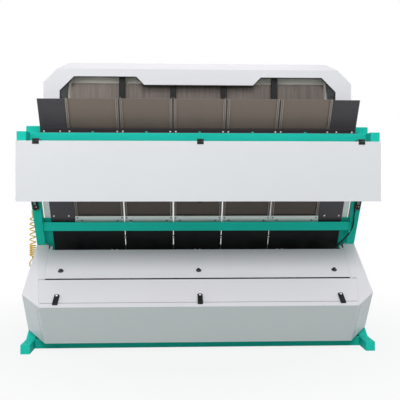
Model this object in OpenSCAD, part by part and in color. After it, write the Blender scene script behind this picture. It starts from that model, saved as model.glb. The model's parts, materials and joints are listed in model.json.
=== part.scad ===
// Chute-fed optical colour sorter, service side at -Y.
// X runs along the machine, Y from the service side to the operator side, Z up from the floor.

/* [Frame] */
// Length over the two side frames
frame_l = 2330; // [2300:5:2360]
// Side of the square frame tube
tube = 60; // [56:1:64]
// Length of each foot
foot_l = 1242; // [1220:2:1260]
// Top of the side rails above the floor
rail_top = 1440; // [1430:1:1450]
// Length of each side rail
rail_l = 1426; // [1400:2:1440]
// Height where the crossed posts meet
waist_z = 622; // [600:1:640]
// Half depth of the side frame at the waist
waist_half = 116; // [110:1:122]
// Half depth of the posts under the rail
post_top_half = 567; // [555:1:575]
// Half depth of the posts on the foot
post_foot_half = 380; // [370:1:390]
// Half depth of the gusset on the foot
gusset_half = 467; // [455:1:475]
// Radius of the anchor holes in the feet
anchor_r = 9; // [6:0.5:12]
// Distance between the anchor holes of one foot
anchor_span = 1130; // [1110:2:1150]
// Side of the middle beam
mid_beam = 40; // [36:1:42]
// Underside of the middle beam above the floor
mid_beam_z = 775; // [770:1:778]

/* [Chutes] */
// Room between the outer chutes and the side frames
side_room = 230; // [225:1:245]
// Gap between neighbouring chutes
chute_gap = 12; // [8:1:16]
// Length of a chute along its slope
chute_l = 1258; // [1240:1:1270]
// Slope of the chutes to the floor
chute_slope = 60.7; // [60.5:0.1:61]
// Thickness of the chute sheet
chute_t = 3; // [2:0.5:4]
// Height of the side walls of a chute
chute_wall = 28; // [20:1:34]
// Depth of the stiffeners under a chute
stiff_d = 10; // [8:0.5:11]
// Thickness of the black tail plates
tail_t = 4; // [2:0.5:5]

/* [Feeder and hopper] */
// Gap between neighbouring feeder trays
tray_gap = 26; // [22:1:40]
// Height of the tray walls
tray_wall = 55; // [45:1:60]
// Floor of the feeder trays above the ground
tray_z = 1600; // [1598:1:1604]
// Thickness of hopper sheet
hopper_t = 4; // [3:0.5:5]
// Top edge of the hopper front plates
plate_top = 1803; // [1795:1:1810]
// Bottom edge of the hopper front plates
plate_low = 1690; // [1680:1:1700]
// Width of the black hopper posts
post_w = 41; // [36:1:46]

/* [Header hood] */
// Gap between the header hood and the side frames
header_gap = 52; // [45:1:60]
// Half depth of the header hood
header_depth = 455; // [448:1:462]
// Top edge of the upright header faces
header_face_top = 1891; // [1885:1:1897]
// Top of the header hood
header_top = 1951; // [1945:1:1957]
// Corner chamfer of the header hood
header_chamfer = 94; // [80:1:104]
// Thickness of cover sheet
sheet = 3; // [2.5:0.5:3.5]

/* [Lower hood] */
// Setback of the hood's front corners from the outer side of the frame
hood_in = 150; // [145:1:160]
// Front edge of the hood from the middle plane
hood_y = 760; // [752:1:766]
// Height of the front edge
hood_z = 329; // [320:1:335]
// Slope of the hood top
hood_slope = 28.9; // [28.4:0.1:29.4]
// Slope of the hood front face
front_slope = 57; // [56.6:0.1:57.4]
// Depth of the cheek measured along the machine depth
cheek_run = 180; // [170:1:185]
// Rise of the cheek from its front edge to the side
cheek_rise = 53; // [48:1:58]
// Distance of the hatch seam from the front edge
seam_s = 40; // [36:1:44]
// Distance of the slot between hatch and lid from the front edge
slot_s = 287; // [280:1:294]
// Width of the slot between hatch and lid
slot_w = 7; // [5:0.5:9]
// Rear edge of the lid from the front edge
lid_s = 635; // [630:1:640]
// Radius of the lid knobs
knob_r = 19.5; // [16:0.5:22]
// Width of a hatch latch
latch_w = 33; // [30:1:40]

/* [Door] */
// Reach of the lift-up door past each side frame
door_over = 1; // [0:0.5:4]
// Bottom edge of the door
door_low = 994; // [980:1:1010]
// Thickness of the door
door_t = 22; // [18:1:26]

/* [Hinges] */
// Radius of the hinge pins
pin_r = 4; // [3:0.25:4.5]
// Wall around a hinge pin
barrel_wall = 3; // [2.5:0.5:3]
// Length of a hinge
hinge_l = 44; // [36:1:60]

/* [Optics and outlets] */
// Gap between the sorting chamber and the side frames
chamber_gap = 99; // [95:1:105]
// Thickness of the chamber end plates
chamber_t = 4; // [3:0.5:6]
// Height of the outlet rails
rail_h = 40; // [36:1:44]
// Thickness of the window glass
glass_t = 4; // [3:0.5:5]
// Radius of the stop button
stop_r = 20; // [16:0.5:24]

/* [Hidden] */
$fn = 48;
// Clearances: running fit of a pin, gap between resting faces, seam between sheets
run_gap = 0.05;
rest_gap = 0.3;
seam_gap = 0.7;
half = frame_l / 2;
inner = half - tube;
header_half = inner - header_gap;
hood_half = half - hood_in;
door_half = half + door_over;
chamber_half = inner - chamber_gap;
rail_low = rail_top - tube;
chute_n = 5;
chute_pitch = 2 * (inner - side_room) / chute_n;
chute_w = chute_pitch - chute_gap;
tray_w = chute_pitch - tray_gap;
chute_x = [for (i = [1:chute_n]) (i - (chute_n + 1) / 2) * chute_pitch];
gap_x = [for (i = [1:chute_n - 1]) (i - chute_n / 2) * chute_pitch];
// The chutes hang from this line on the service side
chute_y = -670;
chute_z = 1657;
// Bands along the chute slope
angle_v = [203, 240];
clamp_v = [883, 947];
stiff_end = 950;
tail_v = 960;
stiff_w = 14;
clip_t = 4;
screw_v = 226;
// The level leg of the top angle stops this far short of the chutes
leg_trim = 1;
side_plate_x = [chute_n * chute_pitch / 2 + 2, inner - 58];
side_plate_l = 930;
// Beams of the service side, mirrored to the operator side
upper_beam_y = [-626, -626 + tube];
lower_beam_y = [-480, -480 + tube];
mid_beam_y = -245;
mid_plate_t = 6;
// Cross tubes that carry the feeders and the header hood
deck_y = [-470, -300, -60, 410];
deck_top = rail_top + tube;
// Feeder
tray_y = [-625, 60];
tray_t = 3;
tray_foot = [-250, -90];
tray_foot_h = 15;
drive_y = [-300, -20];
drive_h = 65;
// Hopper outline
hopper_x = chute_n * chute_pitch / 2 + 15;
hopper_front = -395;
hopper_rear = [0, 1662];
hopper_rear_top = [250, 1925];
hopper_lip = [-330, 1925];
hopper_slope = atan2(hopper_rear_top[1] - hopper_rear[1], hopper_rear_top[0] - hopper_rear[0]);
divider_top = hopper_lip[1] - 10;
post_z = [1665, 1850];
post_d = 34;
// Header hood openings
window_half = header_half - 111;
window_top = 1838;
window_corner = 96;
window_mid = 400;
window_mid_top = 1783;
window_step = 27;
window_low = 1560;
header_flat_half = header_half - 157;
header_flat_depth = 355;
inlet_half = hopper_x - 40;
inlet_y = [-300, 220];
// Lower hood corners on the +X side
corner_c = [hood_half, -hood_y, hood_z];
front_l = (hood_z - tube) / sin(front_slope);
corner_cb = [hood_half, -hood_y + front_l * cos(front_slope), tube];
cheek_e = [half - hood_half, cheek_run, cheek_rise];
corner_b = corner_c + cheek_e;
corner_bb = corner_cb + cheek_e;
hood_l = 701;
corner_a = [half, -hood_y + hood_l * cos(hood_slope), hood_z + hood_l * sin(hood_slope)];
return_w = 0.125;
return_gap = 0.003;
// Start of the returned edge behind the front corner, as a share of the cheek's width
return_inset = 0.003;
// Setback of the cheek's tip from the front corner, as a share of its two edges
tip_inset = 0.006;
// Lap of one sheet past the next at a folded corner
fold_lap = 1.5;
joggle = 25;
joggle_t = 4;
joggle_s = lid_s + 55;
lid_edge = [half - 128, half - 95];
// Hinges of lid and hatch in the inclined frame of the hood top
hinge_end = hood_half - 415;
hinge_x = [-hinge_end, 0, hinge_end];
axis_n = -12;
lid_axis = lid_s + 5;
hatch_axis = slot_s - 15;
gutter_s = [slot_s - 32, slot_s + 28];
gutter_n = -32;
rear_bar_n = [-35, -29];
barrel_r = pin_r + barrel_wall;
lug_half = hinge_l / 2 - 10;
ear = [lug_half + 0.5, hinge_l / 2];
// Knobs, latches and keys
knob_end = hood_half - 74;
knob_x = [-knob_end, 0, knob_end];
knob_s = 379;
latch_end = hood_half - 95;
latch_x = [-latch_end, 0, latch_end];
latch_s = [21, 122];
latch_h = 14;
key_s = 100;
stem_r = 5;
// Door
door_top = rail_low - 1;
door_back = -rail_l / 2;
door_front = door_back - door_t;
door_axis = [door_back - 9, rail_low + 8];
door_hinge_end = door_half - 125;
door_hinge_x = [-door_hinge_end, 0, door_hinge_end];
// Leg line for the switch boxes
leg_rise = rail_low - waist_z;
leg_run = post_top_half - waist_half;
leg_angle = atan2(leg_rise, leg_run);
box_z = 975;
box_w = 39;
box_l = 92;
box_d = 22;
gland_l = 15;
gland_r = 8;
// Cable on the right leg: points chosen by hand, measured in from the outer side of the frame
cable_r = 5;
cable_route = [
    [42, -304, 917], [42, -292, 896], [41, -280, 876], [39, -268, 855],
    [37, -256, 834], [37, -245, 813], [40, -234, 792], [46, -224, 772],
    [55, -215, 753], [66, -207, 735], [79, -200, 718], [94, -193, 702],
    [109, -186, 687], [122, -179, 673], [131, -173, 661], [135, -170, 651]
];
cable_path = [for (p = cable_route) [half - p[0], p[1], p[2]]];
// Coiled air hose on the left leg, tail points chosen by hand
hose_r = 2.5;
coil_r = 23.5;
coil_at = [-half - 27, -166];
coil_z = [570, 890];
tail_route = [[-166, 570], [-166.5, 555], [-167, 540], [-167, 525], [-166.5, 510], [-166, 495]];
tail_path = [for (p = tail_route) [coil_at[0], p[0], p[1]]];
hose_bracket_t = 3;
fit_z = 915;
low_fit_z = 470;
// Sorting chamber
box_rear = [[-90, 540], [-90, 390], [-400, 330], [-400, 450], [-250, 540]];
end_plate_y = [415, 250];
end_plate_z = [430, 556];
window_z = [415, 515];
window_x = chamber_half - 56;
wiper_w = 40;
wiper_travel = 2 * (chamber_half - 126);
ejector_y = [-140, -60];
ejector_z = [290, 360];
nozzle_r = 3;
nozzle_n = 15;
nozzle_pitch = 2 * (chamber_half - 166) / (nozzle_n - 1);
duct_top = 280;
duct_t = 4;
accept_y = [-45, 115];
reject_y = [125, 330];
// Operator side
screen_x = [-180, 180];
screen_z = [1090, 1330];
stop_x = 420;
stop_z = 1210;
stop_travel = 5;

WHITE = [0.90, 0.90, 0.92];
GREEN = [0.10, 0.64, 0.54];
CHUTE = [0.42, 0.39, 0.36];
DARK = [0.25, 0.24, 0.26];
BLACK = [0.06, 0.06, 0.07];
STEEL = [0.72, 0.70, 0.67];
PALE = [0.66, 0.70, 0.67];

// Helpers
module box(lo, hi) { translate(lo) cube(hi - lo); }
module yz(x0, x1) { translate([x0, 0, 0]) rotate([90, 0, 90]) linear_extrude(x1 - x0) children(); }
module both_x() { children(); mirror([1, 0, 0]) children(); }
module both_y() { children(); mirror([0, 1, 0]) children(); }
module on_chute() { translate([0, chute_y, chute_z]) rotate([-chute_slope, 0, 0]) children(); }
module on_top() { translate([0, -hood_y, hood_z]) rotate([hood_slope, 0, 0]) children(); }
module on_front() { translate([0, -hood_y, hood_z]) rotate([-front_slope, 0, 0]) children(); }
module x_rod(r, x0, x1) { translate([x0, 0, 0]) rotate([0, 90, 0]) cylinder(r = r, h = x1 - x0); }
module top_plate(pts, n0, n1) { on_top() translate([0, 0, n0]) linear_extrude(n1 - n0) polygon(pts); }

// Flat sheet from outline points listed counter-clockwise as seen from outside, thickened inwards
module slab(pts, t) {
    k = len(pts);
    c = cross(pts[1] - pts[0], pts[2] - pts[0]);
    n = c / norm(c);
    polyhedron(
        points = concat(pts, [for (p = pts) p - n * t]),
        faces = concat(
            [[for (i = [k - 1:-1:0]) i]], [[for (i = [0:k - 1]) k + i]],
            [for (i = [0:k - 1]) [i, (i + 1) % k, k + (i + 1) % k, k + i]]
        )
    );
}

// Round tube swept along a route, with one ring of sides at each point
function unit(v) = v / norm(v);
function route_dir(p, i) = unit(p[min(i + 1, len(p) - 1)] - p[max(i - 1, 0)]);
function ring(c, d, r, n) =
    let (u = unit(cross(d, [0.3, 1, 0.1])), w = cross(d, u))
    [for (a = [0:n - 1]) c + r * (cos(360 * a / n) * u + sin(360 * a / n) * w)];
module swept_tube(p, r, n = 8) {
    m = len(p);
    polyhedron(
        points = [for (i = [0:m - 1]) each ring(p[i], route_dir(p, i), r, n)],
        faces = concat(
            [[for (a = [0:n - 1]) a]], [[for (a = [n - 1:-1:0]) (m - 1) * n + a]],
            [for (i = [0:m - 2], a = [0:n - 1])
                [i * n + a, (i + 1) * n + a, (i + 1) * n + (a + 1) % n, i * n + (a + 1) % n]]
        )
    );
}

// Side frames
module post_pair(lo, hi, z0, z1) {
    w = tube / sin(atan2(z1 - z0, abs(hi - lo)));
    for (s = [0, 1]) mirror([s, 0]) polygon([[-lo, z0], [-hi, z1], [-hi + w, z1], [-lo + w, z0]]);
}
module frame_outline() {
    translate([-foot_l / 2, 0]) square([foot_l, tube]);
    translate([-rail_l / 2, rail_low]) square([rail_l, tube]);
    post_pair(post_foot_half, waist_half, tube, waist_z);
    post_pair(waist_half, post_top_half, waist_z, rail_low);
    translate([-waist_half, waist_z - tube / 2]) square([2 * waist_half, tube]);
    gusset_top = [waist_half + (post_foot_half - waist_half) * 0.85, tube + (waist_z - tube) * 0.15];
    for (s = [0, 1]) mirror([s, 0])
        polygon([[-gusset_half, tube], [-gusset_top[0], gusset_top[1]], [-post_foot_half, tube]]);
}
module side_frame() {
    difference() {
        yz(inner, half) frame_outline();
        for (s = [-1, 1]) translate([half - tube / 2, s * anchor_span / 2, -1])
            cylinder(r = anchor_r, h = tube + 2);
    }
}
module side_frame_left() { color(GREEN) mirror([1, 0, 0]) side_frame(); }
module side_frame_right() { color(GREEN) side_frame(); }

// Cross beams
module upper_beams() {
    color(GREEN) both_y() box([-inner, upper_beam_y[0], rail_low], [inner, upper_beam_y[1], rail_top]);
}
module mid_beam_rear() {
    plate_y = [mid_beam_y - 15, mid_beam_y + mid_beam + 15];
    color(GREEN) {
        box([-inner, mid_beam_y, mid_beam_z], [inner, mid_beam_y + mid_beam, mid_beam_z + mid_beam]);
        both_x() box([inner - mid_plate_t, plate_y[0], mid_beam_z - 15],
            [inner, plate_y[1], mid_beam_z + mid_beam + 15]);
    }
}
module base_beams() {
    color(GREEN) {
        both_y() box([-inner, lower_beam_y[0], 0], [inner, lower_beam_y[1], tube]);
        both_x() box([chamber_half - 16, lower_beam_y[1], 10],
            [chamber_half + 24, -lower_beam_y[1], 10 + rail_h]);
    }
}
module feeder_deck() {
    color(GREEN) for (y = deck_y) box([-half, y, rail_top], [half, y + tube, deck_top]);
}
module chamber_end_plates() {
    base = 10 + rail_h;
    color(STEEL) both_x() yz(chamber_half, chamber_half + chamber_t)
        polygon([[-end_plate_y[0], base], [end_plate_y[0], base], [end_plate_y[0], end_plate_z[0]],
            [end_plate_y[1], end_plate_z[1]], [-end_plate_y[1], end_plate_z[1]],
                [-end_plate_y[0], end_plate_z[0]]]);
}

// Chutes and what clamps them
module chute(i) {
    color(CHUTE) translate([chute_x[i - 1], 0, 0]) on_chute() {
        box([-chute_w / 2, 0, 0], [chute_w / 2, chute_l, chute_t]);
        both_x() {
            box([chute_w / 2 - chute_t, 0, 0], [chute_w / 2, chute_l, chute_wall]);
            box([chute_w / 2 - stiff_w, 0, -stiff_d], [chute_w / 2, stiff_end, 0]);
        }
    }
}
module chute_side_plates() {
    color(DARK) both_x() on_chute()
        box([side_plate_x[0], 0, -stiff_d], [side_plate_x[1], side_plate_l, -stiff_d + clip_t]);
}
module chute_top_angle() {
    w = side_plate_x[1];
    y1 = chute_y + angle_v[1] * cos(chute_slope) - stiff_d * sin(chute_slope) - leg_trim;
    color(DARK) {
        on_chute() box([-w, angle_v[0], -stiff_d - clip_t], [w, angle_v[1], -stiff_d]);
        box([-w, upper_beam_y[0] + 7, rail_top], [w, y1, rail_top + clip_t]);
    }
}
module chute_tail_plates() {
    color(BLACK) for (x = chute_x) translate([x, 0, 0]) on_chute()
        box([-chute_w / 2, tail_v, -tail_t], [chute_w / 2, chute_l, 0]);
}
module chute_clamp_plates() {
    w = chute_pitch / 2 - 2;
    y0 = chute_y + clamp_v[1] * cos(chute_slope) - (stiff_d + clip_t) * sin(chute_slope);
    z0 = mid_beam_z + mid_beam;
    color(PALE) for (x = chute_x) translate([x, 0, 0]) {
        on_chute() box([-w, clamp_v[0], -stiff_d - clip_t], [w, clamp_v[1], -stiff_d]);
        box([-w, y0 - 3, z0], [w, y0 + 1, z0 + 14]);
    }
}
module screw_head(r, h) {
    rotate([180, 0, 0]) difference() {
        cylinder(r = r, h = h);
        translate([0, 0, h * 0.5]) cylinder(r = r * 0.5, h = h, $fn = 6);
    }
}
module chute_screws() {
    n = -stiff_d - clip_t;
    row = [for (x = chute_x, s = [-1, 1]) x + s * (chute_w / 2 - 12)];
    outer = [for (s = [-1, 1], x = [side_plate_x[0] + 41, side_plate_x[1] - 24]) s * x];
    color(STEEL) on_chute() for (x = concat(row, outer)) translate([x, screw_v, n]) screw_head(6, 4);
    color(STEEL) on_chute() for (x = outer) translate([x, clamp_v[0], -stiff_d]) screw_head(6, 4);
    color(BLACK) on_chute() for (x = chute_x, s = [-1, 1]) {
        translate([x + s * (chute_w / 2 - 11), clamp_v[0] + 14, n]) screw_head(5, 4);
        translate([x + s * (chute_w / 2 - 42), clamp_v[1] - 14, n]) screw_head(5, 4);
    }
}

// Hopper and feeders
function rear_wall_y(z) = hopper_rear[0] + (z - hopper_rear[1]) / tan(hopper_slope);
module hopper_walls() {
    out = hopper_t * [sin(hopper_slope), -cos(hopper_slope)];
    color(STEEL) {
        both_x() yz(hopper_x, hopper_x + hopper_t) polygon([
            [hopper_front, deck_top], [hopper_rear[0], deck_top], hopper_rear, hopper_rear_top,
            hopper_lip, [hopper_front, plate_top]]);
        yz(-hopper_x + seam_gap, hopper_x - seam_gap)
            polygon([hopper_rear, hopper_rear_top, hopper_rear_top + out, hopper_rear + out]);
    }
}
module hopper_dividers() {
    lip_y = hopper_front + (divider_top - plate_top) / (hopper_lip[1] - plate_top)
        * (hopper_lip[0] - hopper_front);
    color(STEEL) for (x = gap_x) yz(x - hopper_t / 2, x + hopper_t / 2) polygon([
        [hopper_front, plate_low], [rear_wall_y(plate_low), plate_low],
            [rear_wall_y(divider_top), divider_top],
        [lip_y, divider_top], [hopper_front, plate_top]]);
}
module hopper_front_plates() {
    color(STEEL) {
        for (i = [0:chute_n - 1])
            box([chute_x[i] - chute_pitch / 2 + 1, hopper_front - hopper_t, plate_low],
                [chute_x[i] + chute_pitch / 2 - 1, hopper_front, plate_top - 2]);
        yz(-hopper_x + seam_gap, hopper_x - seam_gap) polygon([
            [hopper_front, plate_top], hopper_lip, hopper_lip + [-hopper_t, 0],
                [hopper_front - hopper_t, plate_top]]);
    }
}
module hopper_posts() {
    y1 = hopper_front - hopper_t;
    color(BLACK) for (x = gap_x) box([x - post_w / 2, y1 - post_d, post_z[0]],
        [x + post_w / 2, y1, post_z[1]]);
}
module header_block(in) {
    w = header_half - in;
    ch = header_chamfer - in * 0.6;
    top = header_face_top - in * 0.7;
    low = in > 0 ? deck_top - 1 : deck_top;
    hull() {
        translate([0, header_depth - in, 0]) rotate([90, 0, 0]) linear_extrude(2 * (header_depth - in))
            polygon([[-w, low], [w, low], [w, top - ch], [w - ch, top], [ch - w, top], [-w, top - ch]]);
        translate([0, 0, header_top - in - 0.5])
            cube([2 * (header_flat_half - in), 2 * (header_flat_depth - in), 1], center = true);
    }
}
module header_window() {
    m = window_mid;
    polygon([
        [-window_half, window_low], [-window_half, window_top - window_corner],
        [-window_half + window_corner, window_top], [-m - window_step, window_top],
        [-m + window_step, window_mid_top], [m - window_step, window_mid_top], [m + window_step, window_top],
        [window_half - window_corner, window_top], [window_half, window_top - window_corner],
        [window_half, window_low]]);
}
module header_hood() {
    color(WHITE) difference() {
        header_block(0);
        header_block(sheet);
        translate([0, -header_depth + sheet + 10, 0]) rotate([90, 0, 0])
            linear_extrude(sheet + 20) header_window();
        box([-inlet_half, inlet_y[0], header_top - 20], [inlet_half, inlet_y[1], header_top + 5]);
    }
}
module feeder_tray(i) {
    w = tray_w / 2;
    color(STEEL) translate([chute_x[i - 1], 0, 0]) {
        box([-w, tray_y[0], tray_z], [w, tray_y[1], tray_z + tray_t]);
        both_x() box([w - tray_t, tray_y[0], tray_z], [w, tray_y[1], tray_z + tray_wall]);
        box([-w, tray_y[1] - tray_t, tray_z], [w, tray_y[1], tray_z + tray_wall]);
        box([-w * 0.6, tray_foot[0], tray_z - tray_foot_h], [w * 0.6, tray_foot[1], tray_z]);
    }
}
module feeder_drives() {
    w = tray_w * 0.32;
    z1 = deck_top + drive_h;
    color(DARK) for (x = chute_x) translate([x, 0, 0]) {
        box([-w, drive_y[0], deck_top], [w, drive_y[1], z1]);
        for (y = [tray_foot[0] + 8, tray_foot[1] - 14])
            box([-w * 0.85, y, z1], [w * 0.85, y + 6, tray_z - tray_foot_h - rest_gap]);
    }
}

// Lower hood: the same sheets serve both sides
function crease_x(s) = hood_half + (half - hood_half) * s / hood_l;
function lid_x(s) = lid_edge[0] + (lid_edge[1] - lid_edge[0]) * (s - slot_s) / (lid_s - slot_s);
module hood_panel() {
    e0 = return_inset * cheek_e;
    e = return_w * cheek_e;
    d0 = unit(corner_cb - corner_c) * sheet * 1.2;
    d1 = unit(corner_cb - corner_c) * sheet / 2;
    on_front() box([-hood_half, fold_lap, 0], [hood_half, front_l, sheet]);
    on_top() {
        box([fold_lap - hood_half, 0, -sheet], [hood_half - fold_lap, seam_s, 0]);
        box([-hood_half + 15, seam_s - 12, -sheet - rest_gap], [hood_half - 15, seam_s, -sheet]);
        box([-hood_half + 15, seam_s - 12, -sheet - rest_gap - joggle_t],
            [hood_half - 15, seam_s + 20, -sheet - rest_gap]);
    }
    box([-hood_half + 15, corner_cb[1] + fold_lap, tube],
        [hood_half - 15, lower_beam_y[1] - 10, tube + sheet]);
    both_x() slab([corner_c + e0 + d0, corner_cb + e0 - d1, corner_cb + e - d1, corner_c + e + d0], sheet);
}
module hood_cheek() {
    e = (return_w + return_gap) * cheek_e;
    slab([corner_c + e, corner_cb + e, corner_bb, corner_b], sheet);
    tip = corner_c + tip_inset * (corner_b + corner_a - 2 * corner_c);
    slab([tip, corner_b, corner_a], sheet);
    s0 = slot_s + slot_w / 2;
    top_plate([[lid_x(s0) + 1.5, s0], [crease_x(s0), s0], [half, hood_l],
        [lid_x(hood_l) + 1.5, hood_l]], -sheet, 0);
    joggle_n = -sheet - rest_gap;
    top_plate([[lid_x(s0) + 1.5, s0], [lid_x(s0) + 12, s0],
        [lid_x(joggle_s) + 12, joggle_s], [lid_x(joggle_s) + 1.5, joggle_s]],
        joggle_n, -sheet);
    top_plate([[lid_x(s0) - joggle, s0], [lid_x(s0) + 12, s0],
        [lid_x(joggle_s) + 12, joggle_s], [lid_x(joggle_s) - joggle, joggle_s]],
        joggle_n - joggle_t, joggle_n);
    on_top() box([inner - 6, lid_s + 5, -70], [inner, lid_s + 105, -sheet]);
}
module hinge_lug(n_low) {
    box([-lug_half, -6, n_low], [lug_half, 6, axis_n]);
    translate([0, 0, axis_n]) {
        x_rod(barrel_r, -lug_half, lug_half);
        x_rod(pin_r, -hinge_l / 2, hinge_l / 2);
    }
}
module hinge_ears() {
    for (s = [-1, 1]) difference() {
        union() {
            translate([0, 0, axis_n]) x_rod(barrel_r, s > 0 ? ear[0] : -ear[1], s > 0 ? ear[1] : -ear[0]);
            box([s > 0 ? ear[0] : -ear[1], -barrel_r, axis_n], [s > 0 ? ear[1] : -ear[0], barrel_r, -sheet]);
        }
        translate([0, 0, axis_n]) x_rod(pin_r + run_gap, -hinge_l, hinge_l);
    }
}
module hood_bars() {
    joggle_low = -sheet - rest_gap - joggle_t;
    end = lid_x(slot_s) - 1;
    on_top() {
        box([-end, gutter_s[0], gutter_n], [end, gutter_s[1], gutter_n + sheet]);
        box([-end, gutter_s[0], gutter_n], [end, gutter_s[0] + sheet, -sheet - 1]);
        box([-end, gutter_s[1] - sheet, gutter_n], [end, gutter_s[1], joggle_low]);
        for (x = hinge_x) translate([x, hatch_axis, 0]) hinge_lug(gutter_n);
        rear_end = lid_x(lid_s) - 10;
        box([-rear_end, lid_s - 13, rear_bar_n[0]], [rear_end, lid_s + 17, rear_bar_n[1]]);
        both_x() box([rear_end - 14, lid_s - 13, rear_bar_n[0]], [rear_end, lid_s + 17, joggle_low]);
        for (x = hinge_x) translate([x, lid_axis, 0]) hinge_lug(rear_bar_n[0]);
    }
}
module gland_tab() {
    x = cable_path[len(cable_path) - 1][0];
    on_top() {
        box([x - 25, lid_s + 17, rear_bar_n[0]], [x + 25, lid_s + 55, rear_bar_n[1]]);
        translate([x, lid_s + 37, rear_bar_n[1]]) cylinder(r = gland_r, h = 25);
    }
}
module lid_sheet() {
    s0 = slot_s + slot_w / 2;
    on_top() {
        translate([0, 0, -sheet]) linear_extrude(sheet)
            polygon([[-lid_x(s0), s0], [lid_x(s0), s0], [lid_x(lid_s), lid_s], [-lid_x(lid_s), lid_s]]);
        box([-lid_x(s0) + joggle + 5, s0, -15], [lid_x(s0) - joggle - 5, s0 + sheet, 0]);
        for (x = hinge_x) translate([x, lid_axis, 0]) hinge_ears();
        for (x = hinge_x, s = [-1, 1]) translate([x + s * (ear[0] + ear[1]) / 2, 0, 0])
            box([-(ear[1] - ear[0]) / 2, lid_s - 20, -sheet - 6],
                [(ear[1] - ear[0]) / 2, lid_axis - barrel_r, -sheet]);
    }
}
module hatch_sheet() {
    s0 = seam_s + 1;
    s1 = slot_s - slot_w / 2;
    on_top() {
        translate([0, 0, -sheet]) linear_extrude(sheet)
            polygon([[2 - crease_x(s0), s0], [crease_x(s0) - 2, s0],
                [crease_x(s1) - 2, s1], [2 - crease_x(s1), s1]]);
        for (x = hinge_x) translate([x, hatch_axis, 0]) hinge_ears();
    }
}
module rear_hood_panel() { color(WHITE) hood_panel(); }
module rear_hood_cheeks() { color(WHITE) both_x() hood_cheek(); }
module rear_hood_bars() {
    color(DARK) {
        hood_bars();
        gland_tab();
    }
}
module rear_lid() {
    color(WHITE) difference() {
        lid_sheet();
        on_top() for (x = knob_x) translate([x, knob_s, -20]) cylinder(r = stem_r + run_gap, h = 30);
    }
}
module knob_shape() {
    translate([0, 0, -14]) cylinder(r = stem_r, h = 15);
    translate([0, 0, -14]) cylinder(r = stem_r + 4, h = 10);
    translate([0, 0, rest_gap]) rotate_extrude() polygon([
        [0, 0], [knob_r * 0.5, 0], [knob_r * 0.42, 8], [knob_r * 0.9, 12], [knob_r, 16], [knob_r * 0.9, 21],
        [knob_r * 0.5, 24.5], [0, 25.5]]);
}
module lid_knob(i) { color(BLACK) on_top() translate([knob_x[i - 1], knob_s, 0]) knob_shape(); }
module rear_hatch() {
    color(WHITE) difference() {
        hatch_sheet();
        on_top() for (x = latch_x) translate([x, key_s, -20]) cylinder(r = stem_r + run_gap, h = 30);
    }
}
module latch_body() {
    w = latch_w / 2;
    difference() {
        union() {
            box([-w, latch_s[0] + w, rest_gap], [w, seam_s + 1, latch_h]);
            box([-w, seam_s + 1, 0], [w, latch_s[1] - w, latch_h]);
            translate([0, latch_s[0] + w, rest_gap]) cylinder(r = w, h = latch_h - rest_gap);
            translate([0, latch_s[1] - w, 0]) cylinder(r = w, h = latch_h);
        }
        translate([0, key_s, -1]) cylinder(r = stem_r + run_gap, h = latch_h + 2);
    }
}
module hatch_latches() { color(BLACK) on_top() for (x = latch_x) translate([x, 0, 0]) latch_body(); }
module latch_key(i) {
    color(WHITE) on_top() translate([latch_x[i - 1], key_s, 0]) {
        translate([0, 0, -16]) cylinder(r = stem_r, h = 16 + latch_h + rest_gap);
        translate([0, 0, latch_h + rest_gap]) cylinder(r = stem_r + 2, h = 2);
        box([-7, -7, -16], [7, 32, -12]);
    }
}

// Lift-up door
module rear_door() {
    color(WHITE) {
        box([-door_half, door_front, door_low], [door_half, door_back, door_top]);
        box([-14, door_front + 4, door_low - 10], [14, door_back - 4, door_low]);
        for (x = door_hinge_x, s = [-1, 1]) translate([x, door_axis[0], door_axis[1]]) difference() {
            union() {
                x_rod(barrel_r, s > 0 ? ear[0] : -ear[1], s > 0 ? ear[1] : -ear[0]);
                box([s > 0 ? ear[0] : -ear[1], -barrel_r, door_top - door_axis[1]],
                    [s > 0 ? ear[1] : -ear[0], barrel_r, 0]);
            }
            x_rod(pin_r + run_gap, -hinge_l, hinge_l);
        }
    }
}
module door_hinges() {
    color(BLACK) for (x = door_hinge_x) translate([x, door_axis[0], door_axis[1]]) {
        x_rod(barrel_r, -lug_half, lug_half);
        x_rod(pin_r, -hinge_l / 2, hinge_l / 2);
        box([-lug_half, 0, -4], [lug_half, upper_beam_y[0] - door_axis[0], 4]);
    }
}

// Switch boxes and cable on the legs, coiled hose on the left leg
module on_leg() {
    y = -waist_half - (box_z - waist_z) / tan(leg_angle);
    translate([half - tube / 2, y, box_z]) rotate([90 - leg_angle, 0, 0]) children();
}
module switch_box() { on_leg() box([-box_w / 2, -box_d, -box_l / 2], [box_w / 2, 0, box_l / 2]); }
module switch_boxes() {
    color(BLACK) {
        both_x() switch_box();
        on_leg() translate([cable_path[0][0] - half + tube / 2, -box_d / 2, -box_l / 2 - gland_l])
            cylinder(r = gland_r, h = gland_l);
    }
}
module switch_cable() { color(BLACK) swept_tube(cable_path, cable_r); }
module hose_coil() {
    color([0.95, 0.66, 0.12]) translate([coil_at[0], coil_at[1], coil_z[0]])
        rotate_extrude() square([coil_r, coil_z[1] - coil_z[0]]);
}
module hose_tail() { color([0.95, 0.5, 0.1]) swept_tube(tail_path, hose_r); }
module hose_fittings() {
    x = coil_at[0];
    y = coil_at[1];
    color(STEEL) {
        box([-half - hose_bracket_t, y - 95, fit_z - 15], [-half, y + 15, fit_z + 15]);
        translate([0, y, fit_z]) x_rod(7, x - 7, -half);
        translate([x, y, coil_z[1]]) cylinder(r = 6, h = fit_z - coil_z[1]);
        translate([0, y, low_fit_z]) x_rod(7, x - 7, -half);
        translate([x, y, low_fit_z]) cylinder(r = 6, h = tail_path[len(tail_path) - 1][2] - low_fit_z);
    }
}

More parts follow.
